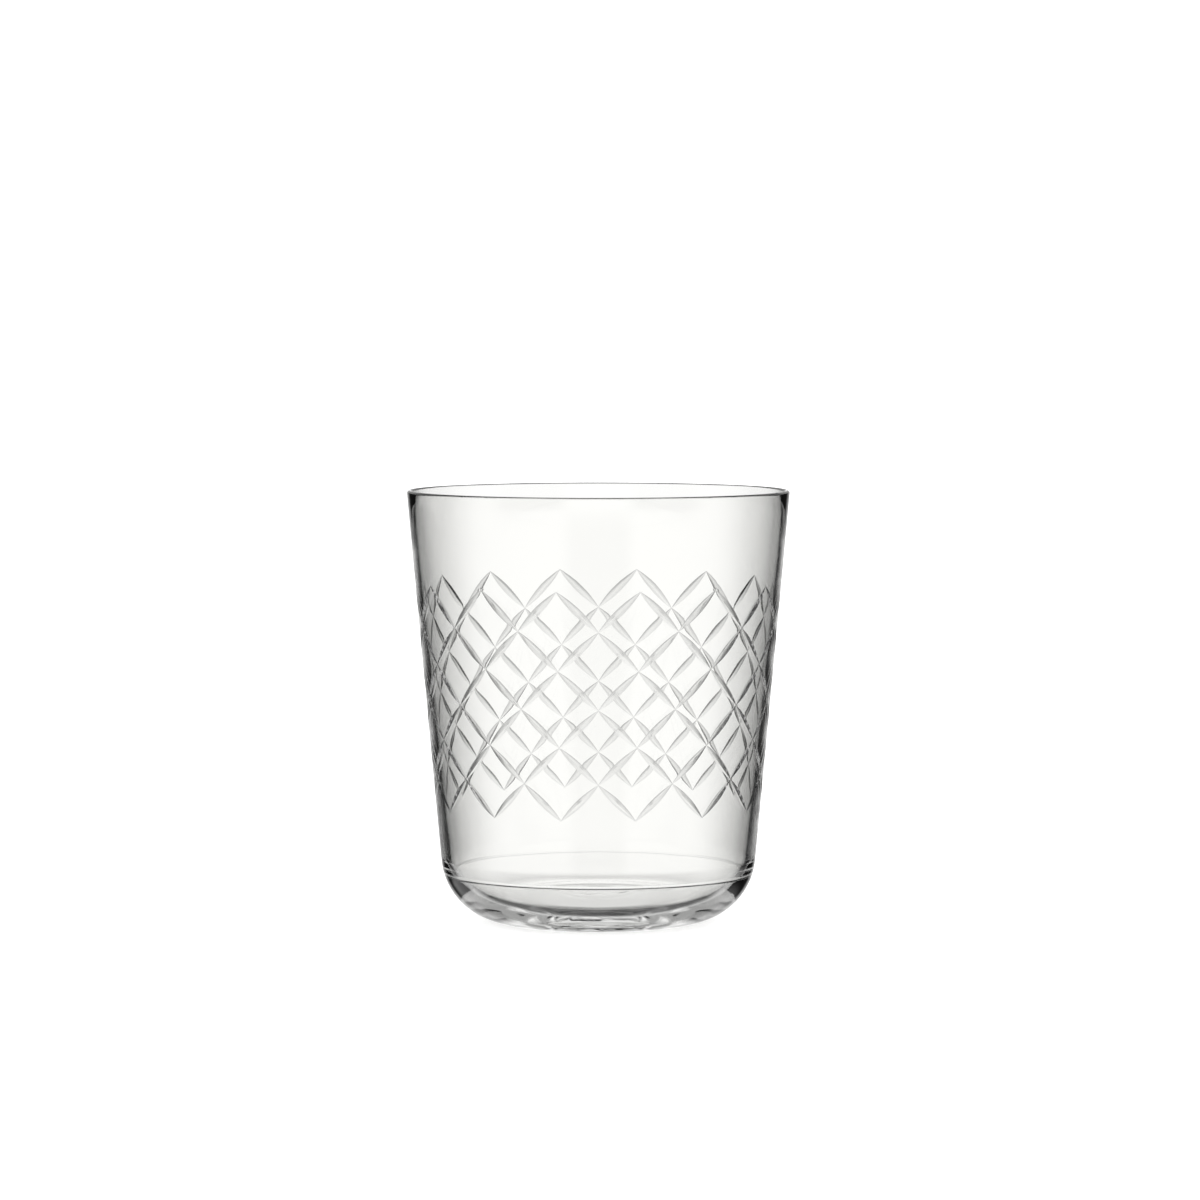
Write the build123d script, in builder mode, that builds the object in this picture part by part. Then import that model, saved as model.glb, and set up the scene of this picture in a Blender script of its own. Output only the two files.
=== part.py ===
"""Whiskey tumbler: one piece of clear soda-lime glass with a band of mitre-cut diamonds.

The tumbler is blown and cut from one gather of glass, so it is one closed solid. A thin tapered
wall runs down from a fire-polished rim into a round heel and a thick base. Under the base a
shallow punt leaves a narrow foot ring, which is what the tumbler stands on.

The cut band is a lattice of short strokes. A wheel with a V edge is pressed into the outside of
the wall once for each stroke, so every stroke is deepest in its middle and runs out to a point
just short of the lattice node at each end.

Frame: millimetres, origin at the centre of the plane that the foot ring stands on, +Z up through
the mouth. Front is -Y, which faces the middle of a diamond of the top row.
"""

from build123d import *

import os
from math import cos, degrees, radians, sin, sqrt, tan

# Outside of the blown shape
HEIGHT = 95.0
RIM_RADIUS = 42.05  # of the outside of the wall, carried up to the top of the rim
WALL_TAPER = 5.25  # degrees that the wall leans out from the vertical
HEEL_RADIUS = 15.0

# Thickness of the glass
RIM_THICKNESS = 1.1
RIM_ROUNDING = 0.5
WALL_THICKNESS = 2.1  # of the wall where it would reach the floor
FLOOR_HEIGHT = 4.0
INNER_HEEL_RADIUS = 12.0

# Underside
FOOT_RADIUS = 17.0  # inner edge of the foot ring, where the punt starts
PUNT_DEPTH = 0.8

# Diamond band
BAND_TOP = 74.9
BAND_BOTTOM = 25.7
DIAMONDS_AROUND = 14
DIAMONDS_HIGH = 3
STROKE_SHARE = 0.93  # of the way between two nodes that one stroke takes
WHEEL_RADIUS = 280.0
WHEEL_EDGE_ANGLE = 140.0  # between the two flanks of the V edge
CUTTER_CLEARANCE = 0.3  # how far a cutter reaches past the glass that it takes away

FRONT_ANGLE = -90.0
COLUMN_ANGLE = 180.0 / DIAMONDS_AROUND  # half a diamond's width, about +Z
STROKE_ROWS = 2 * DIAMONDS_HIGH


def outer_radius(height):
    """Outside radius of the tapered wall at a height above the foot."""
    return RIM_RADIUS - (HEIGHT - height) * tan(radians(WALL_TAPER))


def node_height(row):
    """Height of a row of lattice nodes. Row 0 is the top, and rows close up as the wall narrows."""
    shrink = (outer_radius(BAND_BOTTOM) / outer_radius(BAND_TOP)) ** (1 / STROKE_ROWS)
    share = (1 - shrink**row) / (1 - shrink**STROKE_ROWS)
    return BAND_TOP - share * (BAND_TOP - BAND_BOTTOM)


def wall_point(angle, height):
    """Point on the outside of the wall, at an angle in degrees about +Z."""
    radius = outer_radius(height)
    return Vector(radius * cos(radians(angle)), radius * sin(radians(angle)), height)


def outward_normal(angle):
    """Direction out of the wall, at an angle in degrees about +Z."""
    lean = radians(WALL_TAPER)
    return Vector(cos(lean) * cos(radians(angle)), cos(lean) * sin(radians(angle)), -sin(lean))


def stroke_cutter(row, turn):
    """Stretch of the wheel's V edge that cuts one stroke, in place on the wall.

    The stroke starts at the row's node on the front or just right of it, and runs down to the next
    row, one column round the wall: to the right for turn 1 and to the left for turn -1.
    """
    start_angle = FRONT_ANGLE + COLUMN_ANGLE * ((row + 1) % 2)
    middle_angle = start_angle + turn * COLUMN_ANGLE / 2
    start = wall_point(start_angle, node_height(row))
    end = wall_point(start_angle + turn * COLUMN_ANGLE, node_height(row + 1))
    middle = wall_point(middle_angle, (start.Z + end.Z) / 2)
    plane = Plane(origin=middle, x_dir=end - start, z_dir=outward_normal(middle_angle))

    # The wheel leaves the glass where its own curve and the wall's curve part
    half_length = (end - start).length / 2 * STROKE_SHARE
    wall_drop = -plane.to_local_coords(start).Z * STROKE_SHARE**2
    depth = wall_drop + WHEEL_RADIUS - sqrt(WHEEL_RADIUS**2 - half_length**2)
    half_width = (depth + CUTTER_CLEARANCE) * tan(radians(WHEEL_EDGE_ANGLE / 2))
    half_arc = degrees((half_length + CUTTER_CLEARANCE) / WHEEL_RADIUS)
    axle = Axis((0, 0, WHEEL_RADIUS - depth), (0, 1, 0))
    with BuildPart() as wheel:
        with BuildSketch(Plane.YZ):
            with BuildLine():
                Polyline(
                    (0, -depth),
                    (half_width, CUTTER_CLEARANCE),
                    (-half_width, CUTTER_CLEARANCE),
                    close=True,
                )
            make_face()
        revolve(axis=axle, revolution_arc=2 * half_arc)
    return plane.location * wheel.part.rotate(axle, -half_arc)


os.makedirs("parts", exist_ok=True)

outer_corner = (outer_radius(0), 0)
inner_corner = (outer_radius(FLOOR_HEIGHT) - WALL_THICKNESS, FLOOR_HEIGHT)
rim_outside = (RIM_RADIUS, HEIGHT)
rim_inside = (RIM_RADIUS - RIM_THICKNESS, HEIGHT)

with BuildPart() as tumbler_glass:
    with BuildSketch(Plane.XZ) as section:
        with BuildLine():
            TangentArc((0, PUNT_DEPTH), (FOOT_RADIUS, 0), tangent=(1, 0))
            Polyline(
                (FOOT_RADIUS, 0),
                outer_corner,
                rim_outside,
                rim_inside,
                inner_corner,
                (0, FLOOR_HEIGHT),
            )
            Line((0, FLOOR_HEIGHT), (0, PUNT_DEPTH))
        make_face()
        for corner, radius in (
            (inner_corner, INNER_HEEL_RADIUS),
            (outer_corner, HEEL_RADIUS),
            (rim_inside, RIM_ROUNDING),
            (rim_outside, RIM_ROUNDING),
        ):
            fillet(section.vertices().sort_by_distance(corner)[0], radius)
    revolve(axis=Axis.Z)
    for row in range(STROKE_ROWS):
        for turn in (1, -1):
            cutter = stroke_cutter(row, turn)
            with PolarLocations(0, DIAMONDS_AROUND):
                add(cutter, mode=Mode.SUBTRACT)
tumbler_glass.part.label = "tumbler_glass"
export_step(tumbler_glass.part, "parts/tumbler_glass.step")
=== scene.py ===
"""Looks of the whiskey tumbler: one clear glass piece with a wheel-cut band of diamonds.

Lengths of the glass are millimetres, the same as the CAD part's own dimensions, and are turned
into metres when vertices are made. The frame's box gives the height. Other lengths are metres.
"""

import math

import bmesh
import bpy
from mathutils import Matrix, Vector


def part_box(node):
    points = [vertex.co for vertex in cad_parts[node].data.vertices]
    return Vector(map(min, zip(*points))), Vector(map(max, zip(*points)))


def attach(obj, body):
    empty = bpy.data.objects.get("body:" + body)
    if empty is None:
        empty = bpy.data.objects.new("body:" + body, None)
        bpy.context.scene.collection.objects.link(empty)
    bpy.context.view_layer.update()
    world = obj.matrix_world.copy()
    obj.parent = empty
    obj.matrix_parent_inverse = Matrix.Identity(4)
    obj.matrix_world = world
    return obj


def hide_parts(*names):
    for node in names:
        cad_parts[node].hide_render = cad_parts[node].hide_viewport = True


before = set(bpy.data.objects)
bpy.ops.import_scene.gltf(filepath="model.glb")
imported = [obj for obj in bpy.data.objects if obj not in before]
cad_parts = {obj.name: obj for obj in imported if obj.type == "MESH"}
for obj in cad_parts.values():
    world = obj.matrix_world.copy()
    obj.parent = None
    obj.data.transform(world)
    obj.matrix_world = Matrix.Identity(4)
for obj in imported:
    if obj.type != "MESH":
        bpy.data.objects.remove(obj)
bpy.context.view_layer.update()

MM = 0.001
NODE = "tumbler_glass"

# Outside of the blown shape
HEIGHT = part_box(NODE)[1].z / MM
RIM_RADIUS = 42.05
WALL_TAPER = math.radians(5.25)
HEEL_RADIUS = 15.0

# Thickness of the glass
RIM_THICKNESS = 1.1
WALL_THICKNESS = 2.1
FLOOR_HEIGHT = 4.0
INNER_HEEL_RADIUS = 12.0

# Faint crease that runs round the inner heel
CREASE_HEIGHT = 11.2
CREASE_DEPTH = 0.16
CREASE_WIDTH = 0.19
CREASE_REACH = 3.6  # degrees of the inner heel's arc that are meshed finely each side of it

# Underside
FOOT_RADIUS = 17.0
PUNT_DEPTH = 0.8
PONTIL_RADIUS = 12.0
PONTIL_RINGS = (  # radius, height and width of each ridge, and how many lobes it wanders in
    (9.4, 0.09, 0.55, 3),
    (5.8, 0.09, 0.60, 2),
)

# Diamond band
BAND_TOP = 74.9
BAND_BOTTOM = 25.7
DIAMONDS_AROUND = 14
STROKE_ROWS = 6
STROKE_SHARE = 1.04  # length of a stroke, as a share of the distance between its two nodes
STROKE_DEPTH = 0.28
STROKE_HALF_WIDTH = 0.8
VALLEY_CREASE = 0.5  # how much of the flank's mean slope is left where the two flanks meet

# Mesh
CELL_STEPS = 22
FLANK_STEPS = 3
CELL_ROUNDS = 30  # repeats that settle where two grid lines of a cell cross
RIM_STEPS = 12
WALL_STEPS_ABOVE = 3  # from the band to the rim
WALL_STEPS_BELOW = 3  # from the band to the heel
INNER_WALL_STEPS = 6
INNER_FLOOR_STEPS = 6
INNER_HEEL_STEPS = (7, 12, 13)  # above, over and below the crease
OUTER_HEEL_STEPS = 26
FOOT_STEPS = 4
PONTIL_STEPS = 24
CUT_FACE_DEPTH = 0.002  # faces cut deeper than this have the cut material
SHARP_ANGLE = math.radians(14)

COLUMN_ANGLE = math.pi / DIAMONDS_AROUND
FRONT_ANGLE = -math.pi / 2


def outer_radius(height):
    """Radius of the outside wall, extended straight past the heel."""
    return RIM_RADIUS - (HEIGHT - height) * math.tan(WALL_TAPER)


SHRINK = (outer_radius(BAND_BOTTOM) / outer_radius(BAND_TOP)) ** (1 / STROKE_ROWS)


def row_height(row):
    """Height of a lattice row, also between and beyond whole rows."""
    share = (1 - SHRINK**row) / (1 - SHRINK**STROKE_ROWS)
    return BAND_TOP - share * (BAND_TOP - BAND_BOTTOM)


def stroke_swell(along):
    """How deep and wide a stroke is, from 1 in its middle; along is -1 and 1 at the two nodes."""
    return max(0.0, 1 - (along / STROKE_SHARE) ** 2)


def cell_width():
    """Distance between two neighbouring parallel strokes, at the band's middle."""
    radius = outer_radius((BAND_TOP + BAND_BOTTOM) / 2)
    across = radius * COLUMN_ANGLE
    up = (BAND_TOP - BAND_BOTTOM) / STROKE_ROWS / math.cos(WALL_TAPER)
    return 2 * across * up / math.hypot(across, up)


CELL_WIDTH = cell_width()


def stroke_half_width(along):
    """Half of a stroke's width, as a share of the cell."""
    return stroke_swell(along) * STROKE_HALF_WIDTH / CELL_WIDTH


def grid_line(index, half_width):
    """Place of one grid line across a cell, from 0 on one stroke's valley to 1 on the next."""
    last = CELL_STEPS
    if index <= FLANK_STEPS:
        return half_width * index / FLANK_STEPS
    if index >= last - FLANK_STEPS:
        return 1 - half_width * (last - index) / FLANK_STEPS
    inner = (index - FLANK_STEPS) / (last - 2 * FLANK_STEPS)
    return half_width + (1 - 2 * half_width) * inner


def cell_point(i, j):
    """Place (a, b) of one grid vertex in a cell, where the grid lines follow the strokes' edges."""
    a = i / CELL_STEPS
    b = j / CELL_STEPS
    for _ in range(CELL_ROUNDS):
        width_a, width_b = stroke_half_width(2 * b - 1), stroke_half_width(2 * a - 1)
        a, b = grid_line(i, width_a), grid_line(j, width_b)
    return a, b


CELL_POINTS = {
    (i, j): cell_point(i, j) for i in range(CELL_STEPS + 1) for j in range(CELL_STEPS + 1)
}


def stroke_exists(row_a, row_b):
    """True if both ends of a lattice edge are rows of the band."""
    return 0 <= min(row_a, row_b) and max(row_a, row_b) <= STROKE_ROWS


def groove_depth(left_row, a, b):
    """Depth cut away at a place in the cell whose left and right nodes are in left_row."""
    edges = (
        (stroke_exists(left_row, left_row - 1), a, b),
        (stroke_exists(left_row, left_row + 1), b, a),
        (stroke_exists(left_row + 1, left_row), 1 - a, b),
        (stroke_exists(left_row - 1, left_row), 1 - b, a),
    )
    deepest = 0.0
    for exists, across, along in edges:
        half_width = stroke_half_width(2 * along - 1)
        if exists and across < half_width:
            share = across / half_width
            fall = VALLEY_CREASE * share + (1 - VALLEY_CREASE) * share**2
            deepest = max(deepest, STROKE_DEPTH * stroke_swell(2 * along - 1) * (1 - fall))
    return deepest


def wall_vertex(column, row, depth):
    """Point on the outside wall, cut in by a depth along the wall's normal."""
    height = row_height(row)
    angle = FRONT_ANGLE + column * COLUMN_ANGLE
    radius = outer_radius(height) - depth * math.cos(WALL_TAPER)
    height += depth * math.sin(WALL_TAPER)
    return (radius * math.cos(angle) * MM, radius * math.sin(angle) * MM, height * MM)


def arc(centre, radius, start, end, steps):
    """Points along an arc in the half section, angles in degrees from +r towards +z."""
    points = []
    for step in range(steps + 1):
        angle = math.radians(start + (end - start) * step / steps)
        points.append((centre[0] + radius * math.cos(angle), centre[1] + radius * math.sin(angle)))
    return points


def line(start, end, steps):
    """Points strictly between two points of the half section."""
    return [
        tuple(s + (e - s) * step / steps for s, e in zip(start, end)) for step in range(1, steps)
    ]


def creased(centre, point):
    """Point of the inner heel's arc, pushed out into the glass where the crease runs."""
    away = (point[1] - CREASE_HEIGHT) / CREASE_WIDTH
    push = 1 + CREASE_DEPTH * math.exp(-(away**2)) / INNER_HEEL_RADIUS
    return tuple(c + (value - c) * push for c, value in zip(centre, point))


def pontil_ridge(radius, angle):
    """Height of the uneven fire-polished skin in the middle of the punt."""
    total = 0.0
    for order, (ring_radius, height, width, lobes) in enumerate(PONTIL_RINGS):
        wander = 0.6 * math.sin(lobes * angle + order) + 0.15 * math.sin(5 * angle + 2 * order)
        strength = 0.5 + 0.5 * math.sin((lobes + 2) * angle + 3 * order)
        total += height * strength * math.exp(-(((radius - ring_radius - wander) / width) ** 2))
    return total


def ring_points_above():
    """Half section from the band's upper edge over the rim and along the floor, with the height of
    the floor's middle.
    """
    inner_floor_corner = outer_radius(FLOOR_HEIGHT) - WALL_THICKNESS
    inner_slope = (RIM_RADIUS - RIM_THICKNESS - inner_floor_corner) / (HEIGHT - FLOOR_HEIGHT)
    inner_lean = math.atan(inner_slope)
    rim_r = RIM_THICKNESS / 2
    rim_centre = (RIM_RADIUS - rim_r - rim_r * math.tan(WALL_TAPER), HEIGHT - rim_r)
    rim_start = -math.degrees(WALL_TAPER)
    rim_end = 180 - math.degrees(inner_lean)
    rim = arc(rim_centre, rim_r, rim_start, rim_end, RIM_STEPS)
    heel_centre = (
        inner_floor_corner - INNER_HEEL_RADIUS * (1 - math.sin(inner_lean)) / math.cos(inner_lean),
        FLOOR_HEIGHT + INNER_HEEL_RADIUS,
    )
    start = -math.degrees(inner_lean)
    middle = -math.degrees(math.asin((heel_centre[1] - CREASE_HEIGHT) / INNER_HEEL_RADIUS))
    ends = (start, middle - CREASE_REACH, middle + CREASE_REACH, -90)
    heel = []
    for stretch in zip(ends, ends[1:], INNER_HEEL_STEPS):
        heel += arc(heel_centre, INNER_HEEL_RADIUS, *stretch)
    heel = [creased(heel_centre, point) for point in sorted(set(heel), key=lambda p: -p[1])]
    band_edge = (outer_radius(row_height(-1)), row_height(-1))
    points = line(band_edge, rim[0], WALL_STEPS_ABOVE) + rim
    points += line(rim[-1], heel[0], INNER_WALL_STEPS) + heel
    points += line(heel[-1], (0.0, FLOOR_HEIGHT), INNER_FLOOR_STEPS)
    return points, FLOOR_HEIGHT


def ring_points_below():
    """Half section from the band's lower edge round the heel and along the punt, with the height
    of the punt's middle.
    """
    lean = WALL_TAPER
    heel_depth = HEEL_RADIUS * (1 - math.sin(lean)) / math.cos(lean)
    heel_centre = (outer_radius(0) - heel_depth, HEEL_RADIUS)
    heel = arc(heel_centre, HEEL_RADIUS, -math.degrees(lean), -90, OUTER_HEEL_STEPS)
    band_edge = (outer_radius(row_height(STROKE_ROWS + 1)), row_height(STROKE_ROWS + 1))
    points = line(band_edge, heel[0], WALL_STEPS_BELOW) + heel
    foot, pontil, middle = (FOOT_RADIUS, 0.0), (PONTIL_RADIUS, 0.0), (0.0, 0.0)
    flat = [foot] + line(foot, pontil, FOOT_STEPS) + [pontil] + line(pontil, middle, PONTIL_STEPS)
    points += [(radius, PUNT_DEPTH * (1 - (radius / FOOT_RADIUS) ** 2)) for radius, _ in flat]
    return points, PUNT_DEPTH


def build_glass():
    """One closed mesh: the cut band as a lattice of cells, and rings above and below it."""
    shape = bmesh.new()
    lattice = {}
    turn = 2 * DIAMONDS_AROUND * CELL_STEPS

    def lattice_vertex(cell_p, cell_q, i, j):
        """Vertex of a cell, shared with its neighbours and evenly spaced outside the band."""
        p = CELL_STEPS * cell_p + i
        q = CELL_STEPS * cell_q + j
        key = ((p + q) % turn, p - q)
        if key not in lattice:
            a, b = CELL_POINTS[i, j]
            left_row = cell_p - cell_q
            depth = groove_depth(left_row, a, b)
            column, row = 1 + cell_p + cell_q + a + b, left_row + a - b
            even_column = 1 + (p + q) / CELL_STEPS
            even_row = (p - q) / CELL_STEPS
            plain = min(1.0, max(0.0, -even_row, even_row - STROKE_ROWS))
            column += (even_column - column) * plain
            row += (even_row - row) * plain
            lattice[key] = shape.verts.new(wall_vertex(column, row, depth))
        return lattice[key]

    for left_row in range(-1, STROKE_ROWS + 2):
        for around in range(DIAMONDS_AROUND):
            # cell_p - cell_q is the row, and 1 + cell_p + cell_q the column, of the left node
            cell_q = around - left_row // 2 if left_row % 2 == 0 else around - (left_row + 1) // 2
            cell_p = cell_q + left_row
            for i in range(CELL_STEPS):
                for j in range(CELL_STEPS):
                    corners = ((i, j), (i + 1, j), (i + 1, j + 1), (i, j + 1))
                    if left_row == -1:
                        corners = tuple(c for c in corners if c[0] >= c[1])
                    if left_row == STROKE_ROWS + 1:
                        corners = tuple(c for c in corners if c[0] <= c[1])
                    if len(corners) < 3:
                        continue
                    face = shape.faces.new([lattice_vertex(cell_p, cell_q, *c) for c in corners])
                    face.smooth = True
                    flank_i = i < FLANK_STEPS or i >= CELL_STEPS - FLANK_STEPS
                    flank_j = j < FLANK_STEPS or j >= CELL_STEPS - FLANK_STEPS
                    places = [CELL_POINTS[corner] for corner in corners]
                    middle = [sum(values) / len(corners) for values in zip(*places)]
                    depth = groove_depth(left_row, *middle)
                    if (flank_i or flank_j) and depth > CUT_FACE_DEPTH:
                        face.material_index = 1

    def add_rings(row, points, middle_height):
        """Rings along a half section, from a row at the lattice's edge to one vertex on the axis."""
        edge = sorted((key[0], key) for key in lattice if key[1] == row * CELL_STEPS)
        ring = [lattice[key] for _, key in edge]
        angles = [FRONT_ANGLE + (1 + order / CELL_STEPS) * COLUMN_ANGLE for order, _ in edge]
        upward = row < 0
        for radius, height in points:
            new_ring = []
            for angle in angles:
                ridge = 0.0 if upward or radius > PONTIL_RADIUS else pontil_ridge(radius, angle)
                place = Vector((radius * math.cos(angle), radius * math.sin(angle), height - ridge))
                new_ring.append(shape.verts.new(place * MM))
            join(ring, new_ring, upward)
            ring = new_ring
        tip = shape.verts.new((0.0, 0.0, middle_height * MM))
        for k, vertex in enumerate(ring):
            following = ring[(k + 1) % len(ring)]
            corners = (vertex, following, tip) if upward else (following, vertex, tip)
            shape.faces.new(corners).smooth = True

    def join(ring, new_ring, upward):
        """Faces between two rings that have the same number of vertices."""
        for k, vertex in enumerate(ring):
            after = (k + 1) % len(ring)
            corners = [vertex, ring[after], new_ring[after], new_ring[k]]
            if not upward:
                corners.reverse()
            shape.faces.new(corners).smooth = True

    add_rings(-1, *ring_points_above())
    add_rings(STROKE_ROWS + 1, *ring_points_below())
    bmesh.ops.recalc_face_normals(shape, faces=shape.faces)

    for edge in shape.edges:
        if len(edge.link_faces) == 2 and edge.calc_face_angle(0.0) > SHARP_ANGLE:
            if any(f.material_index for f in edge.link_faces):
                edge.smooth = False
    mesh = bpy.data.meshes.new("tumbler")
    shape.to_mesh(mesh)
    shape.free()
    return mesh


GLASS_COLOUR = (0.985, 0.985, 0.972, 1)
REFRACTIVE_INDEX = 1.51  # soda-lime glass


def glass_material(name, wave_length, wave_depth, least_roughness, most_roughness):
    """Clear glass whose surface rolls by wave_depth over wave_length, both in metres.

    The same waves vary the haze between the two roughnesses, where these differ.
    """
    material = bpy.data.materials.new(name)
    material.use_nodes = True
    nodes = material.node_tree.nodes
    wires = material.node_tree.links
    shader = nodes["Principled BSDF"]
    shader.inputs["Base Color"].default_value = GLASS_COLOUR
    shader.inputs["Roughness"].default_value = least_roughness
    shader.inputs["IOR"].default_value = REFRACTIVE_INDEX
    shader.inputs["Transmission Weight"].default_value = 1.0
    place = nodes.new("ShaderNodeTexCoord")
    waves = nodes.new("ShaderNodeTexNoise")
    waves.inputs["Scale"].default_value = 1 / wave_length
    waves.inputs["Detail"].default_value = 2.0
    wires.new(place.outputs["Object"], waves.inputs["Vector"])
    bump = nodes.new("ShaderNodeBump")
    bump.inputs["Strength"].default_value = 1.0
    bump.inputs["Distance"].default_value = wave_depth
    wires.new(waves.outputs["Fac"], bump.inputs["Height"])
    wires.new(bump.outputs["Normal"], shader.inputs["Normal"])
    if most_roughness > least_roughness:
        haze = nodes.new("ShaderNodeMapRange")
        haze.inputs["From Min"].default_value = 0.3
        haze.inputs["From Max"].default_value = 0.7
        haze.inputs["To Min"].default_value = least_roughness
        haze.inputs["To Max"].default_value = most_roughness
        wires.new(waves.outputs["Fac"], haze.inputs["Value"])
        wires.new(haze.outputs["Result"], shader.inputs["Roughness"])
    return material


tumbler = bpy.data.objects.new("tumbler", build_glass())
bpy.context.scene.collection.objects.link(tumbler)
tumbler.data.materials.append(glass_material("clear_glass", 0.016, 0.00004, 0.0, 0.0))
tumbler.data.materials.append(glass_material("cut_glass", 0.0016, 0.00001, 0.10, 0.20))
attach(tumbler, "root")
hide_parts(NODE)

# Floor: it glows a little, and rays bent or reflected by the glass pass through it to the world
FLOOR_SIZE = 12.0
FLOOR_GLOW = 0.45
bpy.ops.mesh.primitive_plane_add(size=FLOOR_SIZE, location=(0, 0, 0))
floor = bpy.context.object
floor.name = "floor"
paint = bpy.data.materials.new("floor_paint")
paint.use_nodes = True
coat = paint.node_tree.nodes["Principled BSDF"]
coat.inputs["Base Color"].default_value = (0.9, 0.9, 0.9, 1)
coat.inputs["Roughness"].default_value = 0.9
coat.inputs["Emission Color"].default_value = (1, 1, 1, 1)
coat.inputs["Emission Strength"].default_value = FLOOR_GLOW
floor.data.materials.append(paint)
floor.visible_transmission = False
floor.visible_glossy = False

# World: rays that the glass bends or reflects see a studio with cards, drawn here by heading and
# elevation in degrees, and camera and diffuse rays see plain white. The cards' places and shades
# were chosen so that the glass takes on the photograph's greys.
PLAIN_WHITE = 1.4
BLACK_CARD = 0.97  # share of the light that a black card, table or ceiling takes away
world = bpy.data.worlds.new("studio")
bpy.context.scene.world = world
world.use_nodes = True
tree = world.node_tree
links = tree.links
background = tree.nodes["Background"]


def math_node(operation, *values):
    """Output of one math node of the world, whose inputs are numbers or other outputs."""
    node = tree.nodes.new("ShaderNodeMath")
    node.operation = operation
    for index, value in enumerate(values):
        if isinstance(value, (int, float)):
            node.inputs[index].default_value = value
        else:
            links.new(value, node.inputs[index])
    return node.outputs[0]


def ease(value, start, end, low=0.0, high=1.0):
    """Smooth step of a value from low at start to high at end."""
    node = tree.nodes.new("ShaderNodeMapRange")
    node.interpolation_type = "SMOOTHSTEP"
    links.new(value, node.inputs["Value"])
    node.inputs["From Min"].default_value = min(start, end)
    node.inputs["From Max"].default_value = max(start, end)
    node.inputs["To Min"].default_value = low if start < end else high
    node.inputs["To Max"].default_value = high if start < end else low
    return node.outputs["Result"]


def product(*values):
    """Product of numbers and outputs."""
    result = values[0]
    for value in values[1:]:
        result = math_node("MULTIPLY", result, value)
    return result


TO_DEGREES = 180 / math.pi
coords = tree.nodes.new("ShaderNodeTexCoord")
split = tree.nodes.new("ShaderNodeSeparateXYZ")
links.new(coords.outputs["Generated"], split.inputs[0])
heading_radians = math_node("ARCTAN2", split.outputs["X"], split.outputs["Y"])
azimuth = math_node("MULTIPLY", heading_radians, TO_DEGREES)
elevation = math_node("MULTIPLY", math_node("ARCSINE", split.outputs["Z"]), TO_DEGREES)


def away_from(heading):
    """Degrees between the ray's heading and a heading, both measured from +Y towards +X."""
    turned = math_node("SUBTRACT", azimuth, heading)
    wrapped = math_node("WRAP", turned, 180.0, -180.0)
    return math_node("ABSOLUTE", wrapped)


def card(off, lowest, low, high, highest):
    """Pair of black cards, one each side of a heading that off is measured from."""
    return product(
        ease(off, 12, 24),
        ease(off, 102, 60),
        ease(elevation, lowest, low),
        ease(elevation, highest, high),
    )


def all_but(amount, shade):
    """What is left of the light where a shade takes the given share of it away."""
    return math_node("SUBTRACT", 1.0, product(shade, amount))


# Room, which is greyer behind the glass, and a soft glow on the backdrop
behind = away_from(0)
room = ease(behind, 50, 115, 0.65, 0.97)
glow = product(ease(behind, 14, 0), ease(elevation, -28, -8), ease(elevation, 12, -2))
light = math_node("ADD", room, product(glow, 0.4))

# Pale patch low behind, which the base's floor gathers, and a dark table under it
floor_light = product(ease(behind, 40, 20), ease(elevation, -10, -16), ease(elevation, -36, -30))
light = math_node("ADD", light, product(floor_light, 0.16))
under = product(ease(behind, 90, 60), ease(elevation, -30, -41), ease(elevation, -70, -60))
light = product(light, all_but(BLACK_CARD, under))

# Grey wall above the horizon, and a black ceiling
wall = product(ease(behind, 80, 60), ease(elevation, 2, 7))
ceiling = ease(elevation, 28, 42)
light = product(light, all_but(0.35, wall))
light = product(light, all_but(BLACK_CARD, ceiling))

# Pale light straight below, which is what shows through the base from above
light = math_node("MAXIMUM", light, product(ease(elevation, -62, -72), 0.88))

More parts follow.
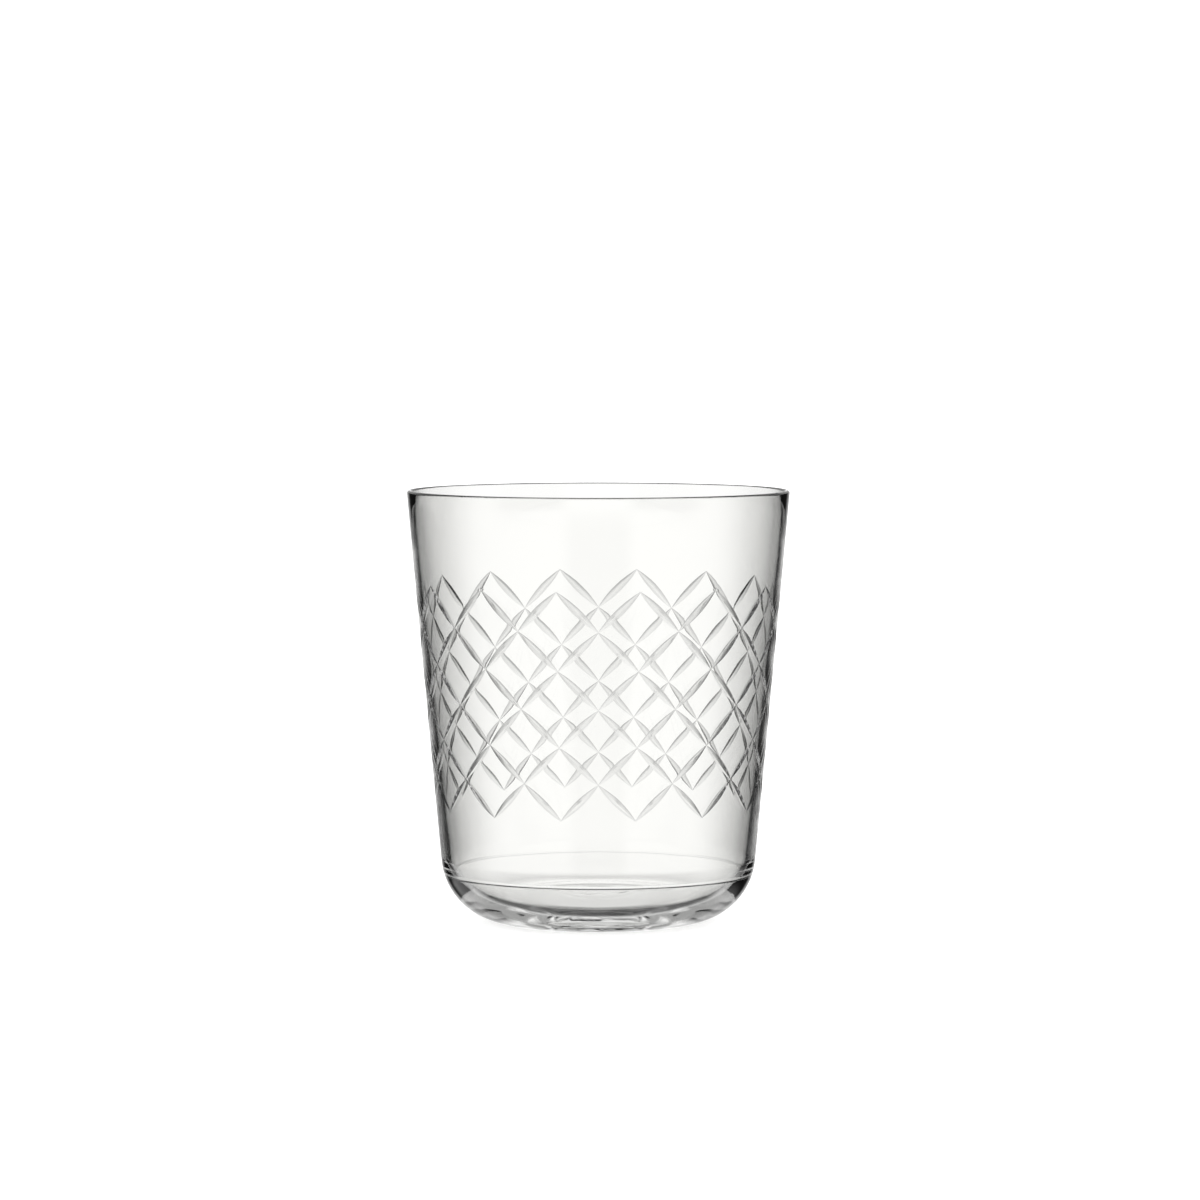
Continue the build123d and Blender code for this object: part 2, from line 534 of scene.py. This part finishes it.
# Black cards each side of the glass, with a gap for the light seen from the right
gap = product(ease(away_from(-45), 22, 10), ease(elevation, -38, -30), ease(elevation, -14, -19))
dark = product(card(behind, -33, -18, 2, 6), all_but(1.0, gap))
light = product(light, all_but(BLACK_CARD, dark))

# Low cards on the other side of the room, which draw the edges for a viewer at the side or back
ahead = away_from(180)
pair_sides = product(ease(ahead, 14, 26), ease(ahead, 75, 55))
pair = product(pair_sides, ease(elevation, -11, -8), ease(elevation, 3, 0))
single = product(ease(ahead, 26, 14), ease(elevation, -26, -20), ease(elevation, -8, -12))
light = product(light, all_but(0.9, pair), all_but(0.6, single))

# Plain white for camera and diffuse rays
path = tree.nodes.new("ShaderNodeLightPath")
plain = math_node("ADD", path.outputs["Is Camera Ray"], path.outputs["Diffuse Depth"])
plain = math_node("MINIMUM", plain, 1.0)
light = math_node("ADD", product(light, all_but(1.0, plain)), product(plain, PLAIN_WHITE))
links.new(light, background.inputs["Strength"])
background.inputs["Color"].default_value = (1, 1, 1, 1)

# Camera
SENSOR_WIDTH = 36.0  # millimetres, as is the lens
LENS = 151.2
CAMERA_DISTANCE = 1.105
CAMERA_HEIGHT = 0.1403
AIM_HEIGHT = 0.0708
SIDE_STEP = 0.00037
camera_data = bpy.data.cameras.new("camera")
camera_data.sensor_width = SENSOR_WIDTH
camera_data.lens = LENS
camera = bpy.data.objects.new("camera", camera_data)
bpy.context.scene.collection.objects.link(camera)
camera.location = (SIDE_STEP, -CAMERA_DISTANCE, CAMERA_HEIGHT)
aim = Vector((SIDE_STEP, 0, AIM_HEIGHT)) - camera.location
camera.rotation_euler = aim.to_track_quat("-Z", "Y").to_euler()
bpy.context.scene.camera = camera

# Light trapped in the base by reflection ends at these limits, which makes the edges darker
MOST_BOUNCES = 28
GLOSSY_BOUNCES = 14
bpy.context.scene.view_settings.view_transform = "Standard"
bpy.context.scene.cycles.max_bounces = MOST_BOUNCES
bpy.context.scene.cycles.transmission_bounces = MOST_BOUNCES
bpy.context.scene.cycles.glossy_bounces = GLOSSY_BOUNCES
